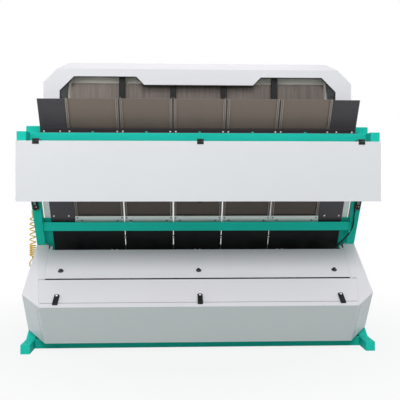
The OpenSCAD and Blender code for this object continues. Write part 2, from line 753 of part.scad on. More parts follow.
// Sorting chamber
module optics_boxes() { color(DARK) both_y() yz(-chamber_half, chamber_half) polygon(box_rear); }
module optics_windows() {
    y = box_rear[0][0];
    color([0.6, 0.8, 0.85]) both_y() box([-window_x, y, window_z[0]], [window_x, y + glass_t, window_z[1]]);
}
module window_wiper() {
    y = box_rear[0][0] + glass_t + rest_gap;
    x = -wiper_travel / 2;
    color(BLACK) {
        box([x - 4, y, window_z[0] + 5], [x + 4, y + 8, window_z[1] - 5]);
        box([x - wiper_w / 2, y + 4, window_z[1] - 20], [x + wiper_w / 2, y + 14, window_z[1] - 2]);
    }
}
module ejector_block() {
    color(STEEL) difference() {
        box([-chamber_half, ejector_y[0], ejector_z[0]], [chamber_half, ejector_y[1], ejector_z[1]]);
        for (i = [0:nozzle_n - 1])
            translate([(i - (nozzle_n - 1) / 2) * nozzle_pitch, ejector_y[1] - 20, ejector_z[1] - 14]) rotate([-90, 0, 0])
            cylinder(r = nozzle_r, h = 30);
    }
}
module duct(y) {
    base = 10 + rail_h;
    difference() {
        box([-chamber_half, y[0], base], [chamber_half, y[1], duct_top]);
        box([-chamber_half + duct_t, y[0] + duct_t, base - 1],
            [chamber_half - duct_t, y[1] - duct_t, duct_top + 1]);
    }
}
module product_outlets() {
    color(STEEL) {
        duct(accept_y);
        duct(reject_y);
    }
}

// Operator side
module front_hood() {
    color(WHITE) mirror([0, 1, 0]) {
        hood_panel();
        both_x() hood_cheek();
        hood_bars();
    }
}
module front_lid() { color(WHITE) mirror([0, 1, 0]) lid_sheet(); }
module front_hatch() { color(WHITE) mirror([0, 1, 0]) hatch_sheet(); }
module front_fascia() {
    y = rail_l / 2;
    color(WHITE) difference() {
        box([-door_half, y, door_low], [door_half, y + door_t, rail_top]);
        translate([stop_x, y - 1, stop_z]) rotate([-90, 0, 0])
            cylinder(r = stop_r * 0.4 + run_gap, h = door_t + 2);
    }
}
module touch_screen() {
    y = rail_l / 2 + door_t;
    color(BLACK) difference() {
        box([screen_x[0], y, screen_z[0]], [screen_x[1], y + 8, screen_z[1]]);
        box([screen_x[0] + 18, y + 7, screen_z[0] + 18], [screen_x[1] - 18, y + 9, screen_z[1] - 18]);
    }
}
module stop_button() {
    y = rail_l / 2 + door_t;
    color([0.8, 0.1, 0.08]) translate([stop_x, y, stop_z]) rotate([-90, 0, 0]) {
        translate([0, 0, -door_t - stop_travel]) cylinder(r = stop_r * 0.4, h = door_t + 2 * stop_travel + 4);
        translate([0, 0, stop_travel + 3]) cylinder(r = stop_r, h = 8);
    }
}

side_frame_left();
side_frame_right();
upper_beams();
mid_beam_rear();
base_beams();
feeder_deck();
chamber_end_plates();
chute(1);  // chute_1
chute(2);  // chute_2
chute(3);  // chute_3
chute(4);  // chute_4
chute(5);  // chute_5
chute_side_plates();
chute_top_angle();
chute_tail_plates();
chute_clamp_plates();
chute_screws();
hopper_walls();
hopper_dividers();
hopper_front_plates();
hopper_posts();
header_hood();
feeder_tray(1);  // feeder_tray_1
feeder_tray(2);  // feeder_tray_2
feeder_tray(3);  // feeder_tray_3
feeder_tray(4);  // feeder_tray_4
feeder_tray(5);  // feeder_tray_5
feeder_drives();
rear_hood_panel();
rear_hood_cheeks();
rear_hood_bars();
rear_lid();
lid_knob(1);  // lid_knob_1
lid_knob(2);  // lid_knob_2
lid_knob(3);  // lid_knob_3
rear_hatch();
hatch_latches();
latch_key(1);  // latch_key_1
latch_key(2);  // latch_key_2
latch_key(3);  // latch_key_3
rear_door();
door_hinges();
switch_boxes();
switch_cable();
hose_coil();
hose_tail();
hose_fittings();
optics_boxes();
optics_windows();
window_wiper();
ejector_block();
product_outlets();
front_hood();
front_lid();
front_hatch();
front_fascia();
touch_screen();
stop_button();
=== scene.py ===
import json
import math
import bmesh
import bpy
from mathutils import Matrix, Vector


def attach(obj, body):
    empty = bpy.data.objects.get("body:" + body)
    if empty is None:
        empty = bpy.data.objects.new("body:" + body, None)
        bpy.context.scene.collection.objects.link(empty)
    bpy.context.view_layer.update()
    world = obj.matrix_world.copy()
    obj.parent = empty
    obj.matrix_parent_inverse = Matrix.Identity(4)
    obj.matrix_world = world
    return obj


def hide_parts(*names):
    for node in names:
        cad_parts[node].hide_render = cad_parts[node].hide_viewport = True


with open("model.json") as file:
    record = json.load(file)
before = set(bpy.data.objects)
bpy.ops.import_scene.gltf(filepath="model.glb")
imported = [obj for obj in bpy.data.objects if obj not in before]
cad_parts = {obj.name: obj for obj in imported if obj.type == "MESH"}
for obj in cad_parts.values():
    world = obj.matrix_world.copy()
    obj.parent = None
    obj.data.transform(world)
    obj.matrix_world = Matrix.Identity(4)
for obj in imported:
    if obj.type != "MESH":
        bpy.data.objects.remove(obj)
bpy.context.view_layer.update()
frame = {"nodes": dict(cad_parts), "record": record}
scene = bpy.context.scene
nodes = frame["nodes"]
bodies = frame["record"]["behaviour"]["bodies"]
bodyOf = {node: body for body, held in bodies.items() for node in held}
slotOf = {row["node"]: row["material_slot"] for row in frame["record"]["subparts"]}
print("frame loaded:", len(nodes), "nodes")

# Camera: level, a little left of the middle, turned slightly to the right
photoCamera = {
    "place": (-0.153, -4.582, 1.067),
    "turn": -2.24,          # degrees about Z
    "focal": 604.0,         # pixels in a 400 pixel frame
    "framePixels": 400.0,
    "sensor": 36.0,
    "horizonDrop": -10.0,   # pixels between the frame's middle and the horizon
    "reach": 100,
}


def addCamera():
    data = bpy.data.cameras.new("photoCamera")
    data.sensor_width = photoCamera["sensor"]
    data.lens = photoCamera["focal"] / photoCamera["framePixels"] * photoCamera["sensor"]
    data.shift_y = photoCamera["horizonDrop"] / photoCamera["framePixels"]
    data.clip_end = photoCamera["reach"]
    camera = bpy.data.objects.new("photoCamera", data)
    camera.location = photoCamera["place"]
    camera.rotation_euler = (math.radians(90), 0, math.radians(photoCamera["turn"]))
    scene.collection.objects.link(camera)
    scene.camera = camera


addCamera()
print("camera placed")

# Sloping planes: origin in millimetres and turn about X in degrees
slopes = {
    "top": ((0, -760, 329), 28.9),      # lid and hatch of the lower hood
    "chute": ((0, -670, 1657), -60.7),  # the five chutes
    "leg": ((0, -326, 975), 30.75),     # the legs at the switch boxes
}

# Material helpers
noiseRoughness = 0.55
cloudStops = (0.3, 0.7)  # the part of a noise's range that carries its pattern


class Finish:
    def __init__(self, name, colour, roughness, metallic=0.0):
        self.material = bpy.data.materials.new(name)
        self.material.use_nodes = True
        self.nodes = self.material.node_tree.nodes
        self.links = self.material.node_tree.links
        self.shader = self.nodes["Principled BSDF"]
        self.shader.inputs["Base Color"].default_value = (*colour, 1)
        self.shader.inputs["Roughness"].default_value = roughness
        self.shader.inputs["Metallic"].default_value = metallic
        self.coords = self.nodes.new("ShaderNodeTexCoord").outputs["Object"]

    def pattern(self, scale, detail, stretch=(1, 1, 1), turn=(0, 0, 0)):
        mapping = self.nodes.new("ShaderNodeMapping")
        mapping.inputs["Scale"].default_value = stretch
        mapping.inputs["Rotation"].default_value = [math.radians(a) for a in turn]
        self.links.new(self.coords, mapping.inputs["Vector"])
        noise = self.nodes.new("ShaderNodeTexNoise")
        noise.inputs["Scale"].default_value = scale
        noise.inputs["Detail"].default_value = detail
        noise.inputs["Roughness"].default_value = noiseRoughness
        self.links.new(mapping.outputs["Vector"], noise.inputs["Vector"])
        return noise.outputs["Fac"]

    def ramp(self, source, stops):
        ramp = self.nodes.new("ShaderNodeValToRGB")
        while len(ramp.color_ramp.elements) < len(stops):
            ramp.color_ramp.elements.new(0.5)
        for element, (place, colour) in zip(ramp.color_ramp.elements, stops):
            element.position = place
            element.color = (*colour, 1)
        self.links.new(source, ramp.inputs["Fac"])
        return ramp.outputs["Color"]

    def shades(self, source, colour, low, high, places=cloudStops):
        # a darker and a lighter shade of one colour
        return self.ramp(source, [(places[0], shade(colour, low)), (places[1], shade(colour, high))])

    def spread(self, source, low, high, given=cloudStops):
        rangeNode = self.nodes.new("ShaderNodeMapRange")
        rangeNode.inputs["From Min"].default_value = given[0]
        rangeNode.inputs["From Max"].default_value = given[1]
        rangeNode.inputs["To Min"].default_value = low
        rangeNode.inputs["To Max"].default_value = high
        self.links.new(source, rangeNode.inputs["Value"])
        return rangeNode.outputs["Result"]

    def shadeByHeight(self, colour, low, high, level):
        # painted shade: darkens a colour from one height down to another, both in metres
        axes = self.nodes.new("ShaderNodeSeparateXYZ")
        self.links.new(self.coords, axes.inputs["Vector"])
        scale = self.nodes.new("ShaderNodeVectorMath")
        scale.operation = "SCALE"
        self.links.new(colour, scale.inputs[0])
        self.links.new(self.spread(axes.outputs["Z"], level, 1.0, (low, high)), scale.inputs["Scale"])
        return scale.outputs["Vector"]

    def tint(self, colour):
        self.links.new(colour, self.shader.inputs["Base Color"])

    def dull(self, value):
        self.links.new(value, self.shader.inputs["Roughness"])

    def bump(self, source, height, strength):
        bump = self.nodes.new("ShaderNodeBump")
        bump.inputs["Strength"].default_value = strength
        bump.inputs["Distance"].default_value = height
        self.links.new(source, bump.inputs["Height"])
        self.links.new(bump.outputs["Normal"], self.shader.inputs["Normal"])


def shade(colour, factor):
    return tuple(min(1.0, c * factor) for c in colour)


# Paint: faint clouds, and the orange peel of sprayed paint
paintLook = {
    "cloud": 1.7, "patches": 3, "patchShare": 0.06, "coatRoughness": 0.12,
    "peel": 420, "peelHeight": 0.0004, "peelStrength": 0.05,
}


def paintFinish(name, colour, roughness, coat=0.0, vary=0.04, gloss=0.5):
    look = paintLook
    finish = Finish(name, colour, roughness)
    finish.shader.inputs["Specular IOR Level"].default_value = gloss
    cloud = finish.pattern(look["cloud"], detail=4)
    finish.tint(finish.shades(cloud, colour, 1 - vary, 1 + vary))
    low, high = roughness * (1 - look["patchShare"]), roughness * (1 + look["patchShare"])
    finish.dull(finish.spread(finish.pattern(look["patches"], detail=2), low, high))
    finish.bump(finish.pattern(look["peel"], detail=2), look["peelHeight"], look["peelStrength"])
    finish.shader.inputs["Coat Weight"].default_value = coat
    finish.shader.inputs["Coat Roughness"].default_value = look["coatRoughness"]
    return finish.material


# Brushed metal: lines along the grain, mixed with clouds
brushLook = {
    "lines": 60, "cloud": 2.2, "cloudShare": 0.45, "stops": (0.32, 0.68), "roughness": (0.8, 1.25),
    "lineHeight": 0.0003, "lineStrength": 0.15,
}


def brushedFinish(name, colour, roughness, grain, turn=(0, 0, 0), metallic=0.85, vary=0.14, shadeByHeight=None):
    look = brushLook
    finish = Finish(name, colour, roughness, metallic)
    lines = finish.pattern(look["lines"], detail=3, stretch=grain, turn=turn)
    cloud = finish.pattern(look["cloud"], detail=4)
    mix = finish.nodes.new("ShaderNodeMix")
    mix.inputs["Factor"].default_value = look["cloudShare"]
    finish.links.new(lines, mix.inputs["A"])
    finish.links.new(cloud, mix.inputs["B"])
    blend = mix.outputs["Result"]
    sheen = finish.shades(blend, colour, 1 - vary, 1 + vary, look["stops"])
    # painted shade: where heights are given, the colour darkens towards the bottom
    finish.tint(finish.shadeByHeight(sheen, *shadeByHeight) if shadeByHeight else sheen)
    low, high = look["roughness"]
    finish.dull(finish.spread(blend, roughness * low, roughness * high))
    finish.bump(lines, look["lineHeight"], look["lineStrength"])
    return finish.material


# Plastic and rubber: a moulded grain under small clouds
plasticLook = {
    "cloud": 14, "shades": (0.85, 1.2), "roughness": (0.85, 1.15),
    "grainHeight": 0.0004, "grainStrength": 0.2,
}


def plasticFinish(name, colour, roughness, grain=260.0, gloss=0.5):
    look = plasticLook
    finish = Finish(name, colour, roughness)
    finish.shader.inputs["Specular IOR Level"].default_value = gloss
    cloud = finish.pattern(look["cloud"], detail=3)
    finish.tint(finish.shades(cloud, colour, *look["shades"]))
    low, high = look["roughness"]
    finish.dull(finish.spread(cloud, roughness * low, roughness * high))
    finish.bump(finish.pattern(grain, detail=2), look["grainHeight"], look["grainStrength"])
    return finish.material


# Window glass with faint smears
glassLook = {
    "colour": (0.82, 0.92, 0.92), "roughness": 0.03, "smears": 6, "smearRoughness": (0.02, 0.08),
    "transmission": 0.9, "index": 1.5,
}


def glassFinish(name):
    look = glassLook
    finish = Finish(name, look["colour"], look["roughness"])
    finish.shader.inputs["Transmission Weight"].default_value = look["transmission"]
    finish.shader.inputs["IOR"].default_value = look["index"]
    finish.dull(finish.spread(finish.pattern(look["smears"], detail=3), *look["smearRoughness"]))
    return finish.material


chuteTurn = (slopes["chute"][1], 0, 0)
# painted shade standing in for the door's shadow on the chutes below it
chuteShadeHeights = (1.10, 1.42, 0.42)  # lower and upper height in metres, level at the lower one
finishes = {
    "white_paint": paintFinish("whiteCover", (0.735, 0.722, 0.76), 0.46, 0.05, 0.006),
    "green_paint": paintFinish("greenFrame", (0.014, 0.54, 0.435), 0.6, 0.0, 0.05, 0.08),
    "dark_paint": paintFinish("charcoalPlate", (0.045, 0.039, 0.046), 0.45, 0.0, 0.12),
    "chute_steel": brushedFinish("chuteSheet", (0.196, 0.156, 0.132), 0.42, (14, 0.5, 0.5), chuteTurn,
                                 metallic=0.55, vary=0.10, shadeByHeight=chuteShadeHeights),
    "stainless": brushedFinish("stainlessSheet", (0.46, 0.43, 0.39), 0.34, (0.4, 9, 9), metallic=0.8),
    "pale_plate": brushedFinish("clampPlate", (0.66, 0.71, 0.69), 0.4, (0.5, 8, 8), metallic=0.45, vary=0.06),
    "black_plastic": plasticFinish("blackPlastic", (0.010, 0.010, 0.011), 0.5, 260, 0.22),
    "white_plastic": plasticFinish("whiteKey", (0.8, 0.8, 0.8), 0.4),
    "red_plastic": plasticFinish("redCap", (0.55, 0.015, 0.012), 0.3),
    "cable_rubber": plasticFinish("cableSheath", (0.008, 0.008, 0.009), 0.55, 500, 0.15),
    "hose_plastic": plasticFinish("yellowHose", (1.0, 0.55, 0.008), 0.3, 500),
    "brass": brushedFinish("brassFitting", (0.62, 0.44, 0.17), 0.3, (6, 6, 6), metallic=0.95),
    "glass": glassFinish("windowGlass"),
    # painted shade: the hopper plates' steel darkened
    "hopper": brushedFinish("hopperPlate", (0.122, 0.104, 0.094), 0.36, (1.1, 0.2, 0.05),
                            metallic=0.75, vary=0.3),
    "zinc": brushedFinish("zincHead", (0.92, 0.92, 0.90), 0.35, (6, 6, 6), metallic=0.2, vary=0.04),
    "gasket": plasticFinish("greyGasket", (0.20, 0.20, 0.21), 0.6, 500, 0.2),
    # painted light: the hopper lip's steel made near white, standing in for the light it catches
    "lip": brushedFinish("hopperLip", (0.95, 0.90, 0.84), 0.5, (0.4, 6, 6), metallic=0.1, vary=0.04),
    "knob": plasticFinish("knobPlastic", (0.010, 0.010, 0.011), 0.16, 90, 0.6),
    "screen": plasticFinish("screenGlass", (0.008, 0.009, 0.012), 0.08, 40),
}
print("finishes made:", len(finishes))

for name, node in nodes.items():
    node.data.materials.clear()
    node.data.materials.append(finishes[slotOf[name]])
print("CAD nodes finished")


# Piece helpers
def addPiece(name, mesh, body, slot, replaced=(), finish=None):
    if not mesh.materials:
        mesh.materials.append(finishes[finish or slot])
    piece = bpy.data.objects.new(name, mesh)
    scene.collection.objects.link(piece)
    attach(piece, body)
    if replaced:
        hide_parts(*replaced)
    return piece


def plainMesh(obj):
    # the evaluated shape as a mesh of its own, with the modifiers gone
    view = bpy.context.evaluated_depsgraph_get()
    mesh = bpy.data.meshes.new_from_object(obj.evaluated_get(view))
    bpy.data.objects.remove(obj)
    return mesh


# Rounded edges of folded and drawn metal: the radius in metres for each CAD node
softEdges = {
    "side_frame_left": 0.005, "side_frame_right": 0.005, "upper_beams": 0.005, "mid_beam_rear": 0.004,
    "base_beams": 0.005, "feeder_deck": 0.005, "rear_door": 0.0025, "header_hood": 0.0012,
    "front_fascia": 0.0025, "hopper_posts": 0.003, "switch_boxes": 0.003,
    "rear_hood_panel": 0.0008, "rear_lid": 0.0008, "rear_hatch": 0.0008, "rear_hood_cheeks": 0.0008,
    "touch_screen": 0.002,
}
softening = {"weld": 2e-6, "flatAngle": 1, "edgeAngle": 25, "segments": 2}  # metres and degrees


def softenNode(name, width):
    # a copy of a CAD node with its long edges rounded
    mesh = nodes[name].data.copy()
    build = bmesh.new()
    build.from_mesh(mesh)
    bmesh.ops.remove_doubles(build, verts=build.verts, dist=softening["weld"])
    flat = math.radians(softening["flatAngle"])
    bmesh.ops.dissolve_limit(build, angle_limit=flat, verts=build.verts, edges=build.edges)
    build.to_mesh(mesh)
    build.free()
    obj = bpy.data.objects.new("work", mesh)
    scene.collection.objects.link(obj)
    bevel = obj.modifiers.new("edges", "BEVEL")
    bevel.width = width
    bevel.segments = softening["segments"]
    bevel.limit_method = "ANGLE"
    bevel.angle_limit = math.radians(softening["edgeAngle"])
    bevel.harden_normals = False
    result = plainMesh(obj)
    result.name = name + "Soft"
    for polygon in result.polygons:
        polygon.use_smooth = False
    return addPiece(name + "_soft", result, bodyOf[name], slotOf[name], [name])


for name, width in softEdges.items():
    softenNode(name, width)
print("edges softened:", len(softEdges))

# Cords: the switch cable on the right leg and the coiled air hose on the left leg
cable = {
    "diameter": 0.010,
    "route": [
        (1.123, -0.304, 0.917), (1.123, -0.292, 0.896), (1.124, -0.280, 0.876), (1.126, -0.268, 0.855),
        (1.128, -0.256, 0.834), (1.128, -0.245, 0.813), (1.125, -0.234, 0.792), (1.119, -0.224, 0.772),
        (1.110, -0.215, 0.753), (1.099, -0.207, 0.735), (1.086, -0.200, 0.718), (1.071, -0.193, 0.702),
        (1.056, -0.186, 0.687), (1.043, -0.179, 0.673), (1.034, -0.173, 0.661), (1.030, -0.170, 0.651),
    ],
}
hose = {
    "diameter": 0.008,
    "coilRadius": 0.020,        # to the middle of the hose
    "axis": (-1.192, -0.166),
    "top": 0.890,
    "bottom": 0.570,
    "stretched": (5.5, 0.672),  # turns drawn apart by the hose's weight, and the height where they end
    "closed": 6,                # turns lying close below them
    "pointsPerTurn": 20,
    "growTurns": 0.6,           # part of a turn over which the coil opens and closes
    "lead": 0.012,              # run from a fitting to the coil
    "straight": 0.3,            # straight part of the upper run
    "tailEnd": 0.495,
    "tailBow": 0.022,           # how far the tail swings out past the hood's edge
    "tailSteps": 10,
}


def pathLength(points):
    return sum((Vector(b) - Vector(a)).length for a, b in zip(points, points[1:]))


def addCord(name, points, diameter, slot):
    curve = bpy.data.curves.new(name, "CURVE")
    curve.dimensions = "3D"
    curve.bevel_depth = diameter / 2
    curve.bevel_resolution = 4
    curve.use_fill_caps = True
    spline = curve.splines.new("POLY")
    spline.points.add(len(points) - 1)
    for point, place in zip(spline.points, points):
        point.co = (*place, 1)
    curve.materials.append(finishes[slot])
    piece = bpy.data.objects.new(name, curve)
    scene.collection.objects.link(piece)
    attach(piece, "frame")
    return piece


def hosePath():
    cx, cy = hose["axis"]
    r, top, bottom = hose["coilRadius"], hose["top"], hose["bottom"]
    upper, bend = hose["stretched"]
    turns = upper + hose["closed"]
    first, last = top - hose["lead"], bottom + hose["lead"]
    points = [(cx, cy, top), (cx, cy, top - hose["lead"] * hose["straight"])]
    for i in range(round(turns * hose["pointsPerTurn"]) + 1):
        turn = i / hose["pointsPerTurn"]
        grow = min(1.0, turn / hose["growTurns"], (turns - turn) / hose["growTurns"])
        if turn < upper:
            z = first + (bend - first) * turn / upper
        else:
            z = bend + (last - bend) * (turn - upper) / hose["closed"]
        angle = 2 * math.pi * turn
        points.append((cx + r * grow * math.cos(angle), cy + r * grow * math.sin(angle), z))
    for i in range(hose["tailSteps"] + 1):
        share = i / hose["tailSteps"]
        out = hose["tailBow"] * math.sin(math.pi * share)
        points.append((cx - out, cy, bottom - (bottom - hose["tailEnd"]) * share))
    return points


cablePiece = addCord("switchCable", cable["route"], cable["diameter"], "cable_rubber")
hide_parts("switch_cable")
hoseRoute = hosePath()
hosePiece = addCord("airHose", hoseRoute, hose["diameter"], "hose_plastic")
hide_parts("hose_coil", "hose_tail")
print("cords laid:", round(pathLength(cable["route"]), 3), "m cable,",
      round(pathLength(hoseRoute), 3), "m hose")


# Places on the sloping planes, given in millimetres
def slopeFrame(name):
    origin, turn = slopes[name]
    return Matrix.Translation(Vector(origin) / 1000) @ Matrix.Rotation(math.radians(turn), 4, "X")


topFrame, chuteFrame, legFrame = (slopeFrame(name) for name in ("top", "chute", "leg"))
topNormal = topFrame.col[2].xyz
chuteOut = -chuteFrame.col[2].xyz
legOut = -legFrame.col[1].xyz


def onTop(x, s, n):
    return topFrame @ (Vector((x, s, n)) / 1000)


def onChute(x, v, n):
    return chuteFrame @ (Vector((x, v, n)) / 1000)


def onLeg(x, y, z):
    return legFrame @ (Vector((x, y, z)) / 1000)


# Turned shapes: rings of (radius, height, kind) in millimetres, closed at both ends
waves = {"lobed": (0.06, 7), "ribbed": (0.03, 18)}  # share of the radius, and count round the ring
sharpAngle = 38.0


def ringScale(kind, angle):
    if kind == "hex":
        return math.cos(math.pi / 6) / math.cos(angle % (math.pi / 3) - math.pi / 6)
    if kind in waves:
        height, count = waves[kind]
        return 1 + height * math.cos(count * angle)
    return 1.0


def endMesh(build, name):
    mesh = bpy.data.meshes.new(name)
    build.to_mesh(mesh)
    build.free()
    return mesh


def bridgeRings(build, rings):
    # faces between each ring of vertices and the next, with both ends closed
    for low, high in zip(rings, rings[1:]):
        for i in range(len(low)):
            j = (i + 1) % len(low)
            build.faces.new((low[i], low[j], high[j], high[i]))
    build.faces.new(rings[0][::-1])
    build.faces.new(rings[-1])
    bmesh.ops.recalc_face_normals(build, faces=build.faces)


def roundEdges(build, edge, segments):
    bmesh.ops.bevel(build, geom=build.edges, offset=edge / 1000, segments=segments, affect="EDGES",
                    profile=0.5)


def turnedMesh(name, rings, steps=36):
    build = bmesh.new()
    loops = []
    for radius, height, kind in rings:
        loop = []
        for i in range(steps):
            angle = 2 * math.pi * i / steps
            r = radius * ringScale(kind, angle) / 1000
            loop.append(build.verts.new((r * math.cos(angle), r * math.sin(angle), height / 1000)))
        loops.append(loop)
    bridgeRings(build, loops)
    mesh = endMesh(build, name)
    for polygon in mesh.polygons:
        polygon.use_smooth = True
    mesh.set_sharp_from_angle(angle=math.radians(sharpAngle))
    return mesh


def placeMesh(mesh, place, facing):
    turn = Vector(facing).to_track_quat("Z", "Y").to_matrix().to_4x4()
    mesh.transform(Matrix.Translation(place) @ turn)
    return mesh


def joinMeshes(name, parts):
    build = bmesh.new()
    for part in parts:
        build.from_mesh(part)
        bpy.data.meshes.remove(part)
    return endMesh(build, name)


def addJoined(name, parts, body, slot, replaced=(), finish=None, space=None):
    mesh = joinMeshes(name, parts)
    if space is not None:
        mesh.transform(space)
    return addPiece(name, mesh, body, slot, replaced, finish)


def blockMesh(low, high, edge, segments=2):
    # a block between two corners in millimetres, with its edges rounded
    build = bmesh.new()
    bmesh.ops.create_cube(build, size=1)
    lo, hi = Vector(low) / 1000, Vector(high) / 1000
    for vert in build.verts:
        vert.co = Vector(lo[k] + (hi[k] - lo[k]) * (vert.co[k] + 0.5) for k in range(3))
    roundEdges(build, edge, segments)
    return endMesh(build, "block")


def blockRow(places, half, ySpan, zSpan, edge, segments=2):
    # blocks of one size at places along X
    (y0, y1), (z0, z1) = ySpan, zSpan
    return [blockMesh((x - half, y0, z0), (x + half, y1, z1), edge, segments) for x in places]


def blockPair(xSpan, ySpan, zSpan, edge, segments=1):
    # a block at the left and one at the right
    (y0, y1), (z0, z1) = ySpan, zSpan
    pair = []
    for side in bothSides:
        low, high = sorted(side * x for x in xSpan)
        pair.append(blockMesh((low, y0, z0), (high, y1, z1), edge, segments))
    return pair


def prismMesh(outline, span, edge=0.3, segments=1):
    # a flat plate from an outline in millimetres, between two heights
    build = bmesh.new()
    rings = [[build.verts.new((x / 1000, y / 1000, z / 1000)) for x, y in outline] for z in span]
    bridgeRings(build, rings)
    roundEdges(build, edge, segments)
    return endMesh(build, "prism")


# Repeated heads are scattered by one node group, which turns each by its own angle
def headField():
    tree = bpy.data.node_groups.new("headField", "GeometryNodeTree")
    sockets = {}
    for label, kind in (("Geometry", "Geometry"), ("Head", "Object"), ("Facing", "Vector"),
                        ("Seed", "Int"), ("Spin", "Float"), ("Finish", "Material")):
        sockets[label] = tree.interface.new_socket(label, in_out="INPUT", socket_type="NodeSocket" + kind)
    tree.interface.new_socket("Geometry", in_out="OUTPUT", socket_type="NodeSocketGeometry")
    add = tree.nodes.new
    given, made = add("NodeGroupInput"), add("NodeGroupOutput")
    head, face = add("GeometryNodeObjectInfo"), add("FunctionNodeAlignRotationToVector")
    chance, spin = add("FunctionNodeRandomValue"), add("FunctionNodeAxisAngleToRotation")
    both, spread = add("FunctionNodeRotateRotation"), add("GeometryNodeInstanceOnPoints")
    real, coat = add("GeometryNodeRealizeInstances"), add("GeometryNodeSetMaterial")
    face.axis = "Z"
    both.rotation_space = "LOCAL"
    chance.data_type = "FLOAT"
    top = [socket for socket in chance.inputs if socket.name == "Max" and socket.type == "VALUE"][0]
    value = [socket for socket in chance.outputs if socket.type == "VALUE"][0]
    link = tree.links.new
    link(given.outputs["Spin"], top)
    link(given.outputs["Head"], head.inputs["Object"])
    link(given.outputs["Facing"], face.inputs["Vector"])
    link(given.outputs["Seed"], chance.inputs["Seed"])
    link(value, spin.inputs["Angle"])
    link(face.outputs["Rotation"], both.inputs["Rotation"])
    link(spin.outputs["Rotation"], both.inputs["Rotate By"])
    link(given.outputs["Geometry"], spread.inputs["Points"])
    link(head.outputs["Geometry"], spread.inputs["Instance"])
    link(both.outputs["Rotation"], spread.inputs["Rotation"])
    link(spread.outputs["Instances"], real.inputs["Geometry"])
    link(real.outputs["Geometry"], coat.inputs["Geometry"])
    link(given.outputs["Finish"], coat.inputs["Material"])
    link(coat.outputs["Geometry"], made.inputs["Geometry"])
    return tree, {label: socket.identifier for label, socket in sockets.items()}


headTree, headInputs = headField()


def addHeads(name, head, groups, body, slot, seed, replaced=(), spin=2 * math.pi, finish=None):
    # groups: (places, facing) pairs, one scatter for each facing
    parts = []
    source = bpy.data.objects.new(name + "Head", head)
    scene.collection.objects.link(source)
    for k, (places, facing) in enumerate(groups):
        points = bpy.data.meshes.new(name + "Points")
        points.from_pydata([tuple(place) for place in places], [], [])
        host = bpy.data.objects.new(name + "Host", points)
        scene.collection.objects.link(host)
        modifier = host.modifiers.new("heads", "NODES")
        modifier.node_group = headTree
        modifier[headInputs["Head"]] = source
        modifier[headInputs["Facing"]] = tuple(facing)
        modifier[headInputs["Seed"]] = seed + k
        modifier[headInputs["Spin"]] = spin
        modifier[headInputs["Finish"]] = finishes[finish or slot]
        parts.append(plainMesh(host))
    bpy.data.objects.remove(source)
    return addJoined(name, parts, body, slot, replaced, finish)


bothSides = (-1, 1)
chuteMiddles = [-700, -350, 0, 350, 700]
chuteGaps = (-525, -175, 175, 525)
switchBox = {"across": 1135, "face": -22}
headSteps = 24
socketHead = [(6, 0, ""), (6, 1.2, ""), (5.7, 2.4, ""), (4.9, 3.4, ""), (3.8, 4, ""), (3.3, 4, "hex"),
              (3.2, 2, "hex")]

# Screws in the chute bar and side plates
barScrews = {"chuteX": 157, "plateX": (918, 1023), "barV": 226, "barN": -14, "plateV": 883, "plateN": -10}
places = [onChute(x + side * barScrews["chuteX"], barScrews["barV"], barScrews["barN"])
          for x in chuteMiddles for side in bothSides]
for v, n in (("barV", "barN"), ("plateV", "plateN")):
    places += [onChute(side * x, barScrews[v], barScrews[n])
               for side in bothSides for x in barScrews["plateX"]]
addHeads("barScrews", turnedMesh("barScrew", socketHead, headSteps), [(places, chuteOut)],
         "frame", "stainless", seed=3, replaced=["chute_screws"], finish="zinc")

# Smaller screws in two rows on the clamp plates
clampScrews = {"size": 0.84, "rows": ((158, 897), (127, 919)), "n": -14}
rings = [(r * clampScrews["size"], h, kind) for r, h, kind in socketHead]
places = [onChute(x + side * at, v, clampScrews["n"]) for at, v in clampScrews["rows"]
          for x in chuteMiddles for side in bothSides]
addHeads("clampScrews", turnedMesh("clampScrew", rings, headSteps), [(places, chuteOut)],
         "frame", "black_plastic", seed=7)

# Painted bolts on the upper beam and at the ends of the middle one
beamBolts = {
    "rings": [(10, 0, ""), (10, 1.6, ""), (8, 1.7, "hex"), (8, 6.4, "hex"), (7.2, 7.2, "hex"), (5, 7.3, "")],
    "levelY": -606, "levelZ": 1444, "endX": 1099, "endY": (-252, -198), "endZ": (768, 822),
}
level = [Vector((x, beamBolts["levelY"], beamBolts["levelZ"])) / 1000 for x in chuteMiddles]
right, left = ([Vector((side * beamBolts["endX"], y, z)) / 1000
                for y in beamBolts["endY"] for z in beamBolts["endZ"]] for side in (1, -1))
addHeads("beamBolts", turnedMesh("beamBolt", beamBolts["rings"], headSteps),
         [(level, (0, 0, 1)), (right, (-1, 0, 0)), (left, (1, 0, 0))], "frame", "green_paint", seed=11)

# Screws of the operator panel and of the switch boxes
fasciaScrews = {"x": (-1130, -760, -400, 400, 760, 1130), "y": 735, "z": (1016, 1418)}
places = [Vector((x, fasciaScrews["y"], z)) / 1000 for x in fasciaScrews["x"] for z in fasciaScrews["z"]]
addHeads("fasciaScrews", turnedMesh("fasciaScrew", socketHead, headSteps), [(places, (0, 1, 0))],
         "frame", "stainless", seed=17)
boxScrews = {
    "rings": [(2.6, 0, ""), (2.6, 0.6, ""), (2.2, 1.2, ""), (1.2, 1.4, "hex"), (1.2, 0.8, "hex")],
    "steps": 18, "x": (-14, 14), "z": (-40, 40),
}
places = [onLeg(side * switchBox["across"] + x, switchBox["face"], z)
          for side in bothSides for x in boxScrews["x"] for z in boxScrews["z"]]
addHeads("boxScrews", turnedMesh("boxScrew", boxScrews["rings"], boxScrews["steps"]), [(places, legOut)],
         "frame", "stainless", seed=23)
print("heads scattered")

